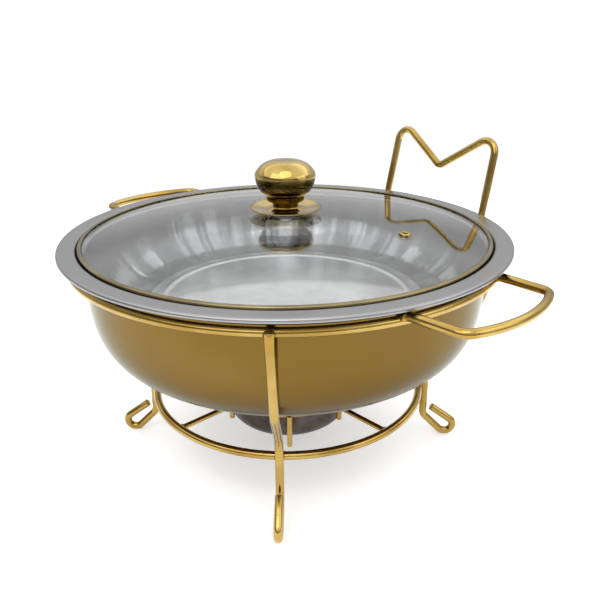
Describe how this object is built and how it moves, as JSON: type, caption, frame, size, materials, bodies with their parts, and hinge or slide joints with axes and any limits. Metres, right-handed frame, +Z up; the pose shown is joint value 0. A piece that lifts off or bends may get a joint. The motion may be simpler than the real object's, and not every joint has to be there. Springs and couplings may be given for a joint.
{
  "type": "chafing dish food warmer",
  "caption": "Round chafing dish: a gold wire stand with hairpin feet and a lid holder, a deep water pan, a steel food pan, a glass lid with a knob, and a fuel burner.",
  "frame": {"origin": "on the floor, under the middle of the whole object's box", "axes": "+X through the right handle, +Y towards the lid holder, +Z up"},
  "size_m": [0.4062, 0.346, 0.2335],
  "materials": {
    "gold_wire": "polished gold plating on steel wire",
    "satin_gold": "smooth satin gold plating on steel sheet",
    "polished_gold": "mirror polished gold plating",
    "steel": "polished stainless steel",
    "dark_steel": "dull stainless steel",
    "clear_glass": "clear tempered glass",
    "silicone": "translucent white silicone"
  },
  "bodies": {
    "stand": {"top_ring": "gold_wire", "lower_ring": "gold_wire", "burner_ring": "gold_wire", "leg_1": "gold_wire", "leg_2": "gold_wire", "leg_3": "gold_wire", "leg_4": "gold_wire", "spoke_1": "gold_wire", "spoke_2": "gold_wire", "spoke_3": "gold_wire", "spoke_4": "gold_wire", "burner_prong_1": "gold_wire", "burner_prong_2": "gold_wire", "burner_prong_3": "gold_wire", "burner_prong_4": "gold_wire", "handle_right": "gold_wire", "handle_left": "gold_wire", "lid_holder": "gold_wire"},
    "water_pan": {"water_pan": "satin_gold"},
    "food_pan": {"food_pan": "steel"},
    "lid": {"lid_glass": "clear_glass", "lid_band": "polished_gold", "steam_vent": "polished_gold", "knob_base": "polished_gold", "knob_cap": "polished_gold", "knob_gasket": "silicone", "knob_washer": "steel", "knob_screw": "steel"},
    "burner": {"burner_cup": "dark_steel", "burner_cover": "steel", "shutter_rivet": "dark_steel"},
    "shutter": {"burner_shutter": "steel"}
  },
  "joints": [
    {"name": "water_pan_lift", "type": "slide", "parent": "stand", "child": "water_pan", "axis": [0, 0, 1], "range_m": [0, 0.12]},
    {"name": "food_pan_lift", "type": "slide", "parent": "water_pan", "child": "food_pan", "axis": [0, 0, 1], "range_m": [0, 0.08]},
    {"name": "lid_lift", "type": "slide", "parent": "food_pan", "child": "lid", "axis": [0, 0, 1], "range_m": [0, 0.12]},
    {"name": "burner_lift", "type": "slide", "parent": "stand", "child": "burner", "axis": [0, 0, 1], "range_m": [0, 0.014]},
    {"name": "shutter_swing", "type": "hinge", "parent": "burner", "child": "shutter", "pos_m": [0.034, -0.00796, 0.0544], "axis": [0, 0, 1], "range_deg": [0, 110]}
  ]
}
